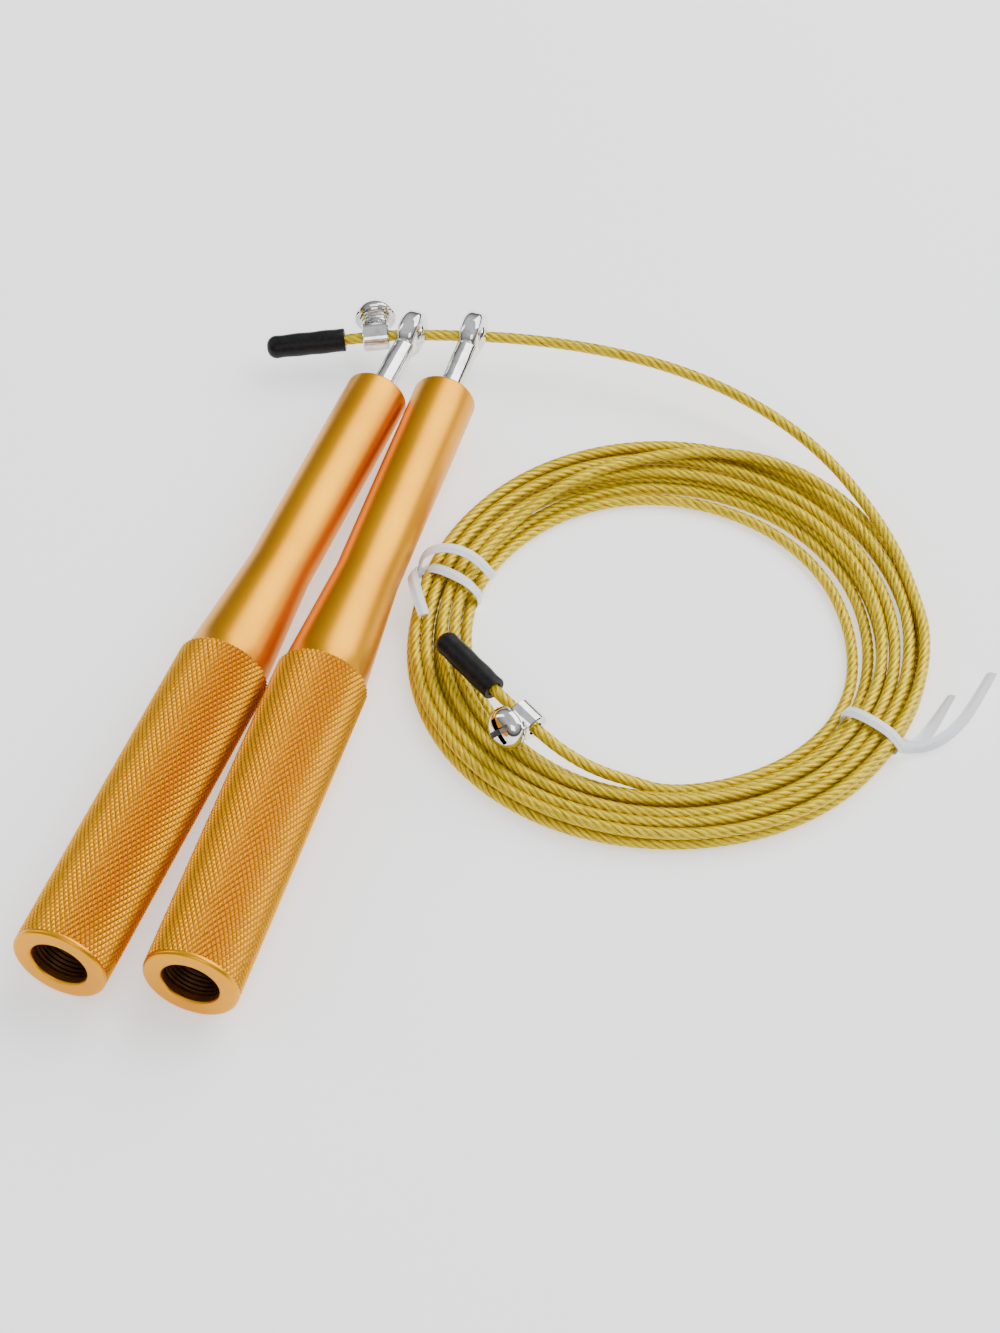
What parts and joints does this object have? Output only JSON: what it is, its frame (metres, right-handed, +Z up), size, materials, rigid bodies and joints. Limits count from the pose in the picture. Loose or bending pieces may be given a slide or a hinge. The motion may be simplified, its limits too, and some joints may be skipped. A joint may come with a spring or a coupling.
{
  "type": "jump rope",
  "caption": "Speed jump rope with hollow knurled metal handles on ball-bearing swivel eyes, and a coated wire cable with screw clamps and end caps, stored in a tied coil.",
  "frame": {"origin": "on the floor under the middle of the two handles", "axes": "+Y along the handles from their open ends to their eyes, +X from handle a to handle b and the coil, +Z up"},
  "size_m": [0.1776, 0.1947, 0.02],
  "materials": {
    "anodised_aluminium": "orange gold anodised, satin, knurled grip",
    "polished_steel": "polished, nickel plated",
    "bearing_steel": "ground steel",
    "cable_coating": "clear yellow coating over laid wire strands",
    "cap_rubber": "matt black",
    "tie_plastic": "white, slightly translucent",
    "insert_nylon": "nylon"
  },
  "bodies": {
    "cable": {"cable_run": "cable_coating", "cable_coil": "cable_coating", "cable_tail": "cable_coating", "tie_upper": "tie_plastic", "tie_lower": "tie_plastic"},
    "ball_a": {"swivel_ball_a": "polished_steel"},
    "eye_a": {"eye_shaft_a": "polished_steel", "front_inner_race_a": "bearing_steel", "rear_inner_race_a": "bearing_steel", "bearing_spacer_a": "bearing_steel", "shim_washer_a": "bearing_steel", "lock_nut_a": "bearing_steel", "nut_insert_a": "insert_nylon"},
    "bearing_balls_a": {"front_bearing_balls_a": "bearing_steel", "rear_bearing_balls_a": "bearing_steel"},
    "handle_a": {"handle_body_a": "anodised_aluminium", "front_outer_race_a": "bearing_steel", "rear_outer_race_a": "bearing_steel", "front_shields_a": "bearing_steel", "rear_shields_a": "bearing_steel"},
    "clamp_a": {"clamp_collar_a": "polished_steel"},
    "screw_a": {"clamp_screw_a": "polished_steel"},
    "cap_a": {"end_cap_a": "cap_rubber"},
    "ball_b": {"swivel_ball_b": "polished_steel"},
    "eye_b": {"eye_shaft_b": "polished_steel", "front_inner_race_b": "bearing_steel", "rear_inner_race_b": "bearing_steel", "bearing_spacer_b": "bearing_steel", "shim_washer_b": "bearing_steel", "lock_nut_b": "bearing_steel", "nut_insert_b": "insert_nylon"},
    "bearing_balls_b": {"front_bearing_balls_b": "bearing_steel", "rear_bearing_balls_b": "bearing_steel"},
    "handle_b": {"handle_body_b": "anodised_aluminium", "front_outer_race_b": "bearing_steel", "rear_outer_race_b": "bearing_steel", "front_shields_b": "bearing_steel", "rear_shields_b": "bearing_steel"},
    "clamp_b": {"clamp_collar_b": "polished_steel"},
    "screw_b": {"clamp_screw_b": "polished_steel"},
    "cap_b": {"end_cap_b": "cap_rubber"}
  },
  "joints": [
    {"name": "handle_a_swing", "type": "hinge", "parent": "cable", "child": "ball_a", "pos_m": [-0.00651, 0.08689, 0.01], "axis": [-0.9539, -0.3002, 0], "range_deg": [0, 110]},
    {"name": "handle_a_tilt", "type": "hinge", "parent": "ball_a", "child": "eye_a", "pos_m": [-0.00651, 0.08689, 0.01], "axis": [-0.3002, 0.9539, 0], "range_deg": [0, 20]},
    {"name": "handle_a_spin", "type": "hinge", "parent": "eye_a", "child": "handle_a", "pos_m": [-0.00651, 0.08689, 0.01], "axis": [0.0349, 0.9994, 0], "continuous": true},
    {"name": "bearing_a_roll", "type": "hinge", "parent": "eye_a", "child": "bearing_balls_a", "pos_m": [-0.00651, 0.08689, 0.01], "axis": [0.0349, 0.9994, 0], "continuous": true},
    {"name": "handle_b_swing", "type": "hinge", "parent": "cable", "child": "ball_b", "pos_m": [0.00651, 0.09099, 0.01], "axis": [-0.9539, -0.3002, 0], "range_deg": [0, 150]},
    {"name": "handle_b_tilt", "type": "hinge", "parent": "ball_b", "child": "eye_b", "pos_m": [0.00651, 0.09099, 0.01], "axis": [-0.3002, 0.9539, 0], "range_deg": [0, 20]},
    {"name": "handle_b_spin", "type": "hinge", "parent": "eye_b", "child": "handle_b", "pos_m": [0.00651, 0.09099, 0.01], "axis": [-0.0349, 0.9994, 0], "continuous": true},
    {"name": "bearing_b_roll", "type": "hinge", "parent": "eye_b", "child": "bearing_balls_b", "pos_m": [0.00651, 0.09099, 0.01], "axis": [-0.0349, 0.9994, 0], "continuous": true},
    {"name": "clamp_a_slide", "type": "slide", "parent": "cable", "child": "clamp_a", "axis": [0.9229, 0.3752, 0.0862], "range_m": [-0.0035, 0.0006]},
    {"name": "screw_a_turn", "type": "hinge", "parent": "clamp_a", "child": "screw_a", "pos_m": [-0.01395, 0.08415, 0.00918], "axis": [-0.3767, 0.9264, 0], "range_deg": [0, 1080]},
    {"name": "cap_a_pull", "type": "slide", "parent": "cable", "child": "cap_a", "axis": [-0.9217, -0.3766, -0.0927], "range_m": [0, 0.016]},
    {"name": "clamp_b_slide", "type": "slide", "parent": "cable", "child": "clamp_b", "axis": [-0.8748, 0.47, 0.1175], "range_m": [-0.001, 0.0035]},
    {"name": "screw_b_turn", "type": "hinge", "parent": "clamp_b", "child": "screw_b", "pos_m": [0.05295, -0.0081, 0.00895], "axis": [-0.4001, -0.8376, 0.372], "range_deg": [0, 1080]},
    {"name": "cap_b_pull", "type": "slide", "parent": "cable", "child": "cap_b", "axis": [-0.846, 0.5332, 0], "range_m": [0, 0.011]}
  ],
  "couplings": [
    {"joint": "bearing_a_roll", "follows": "handle_a_spin", "ratio": 0.58},
    {"joint": "bearing_b_roll", "follows": "handle_b_spin", "ratio": 0.58}
  ]
}
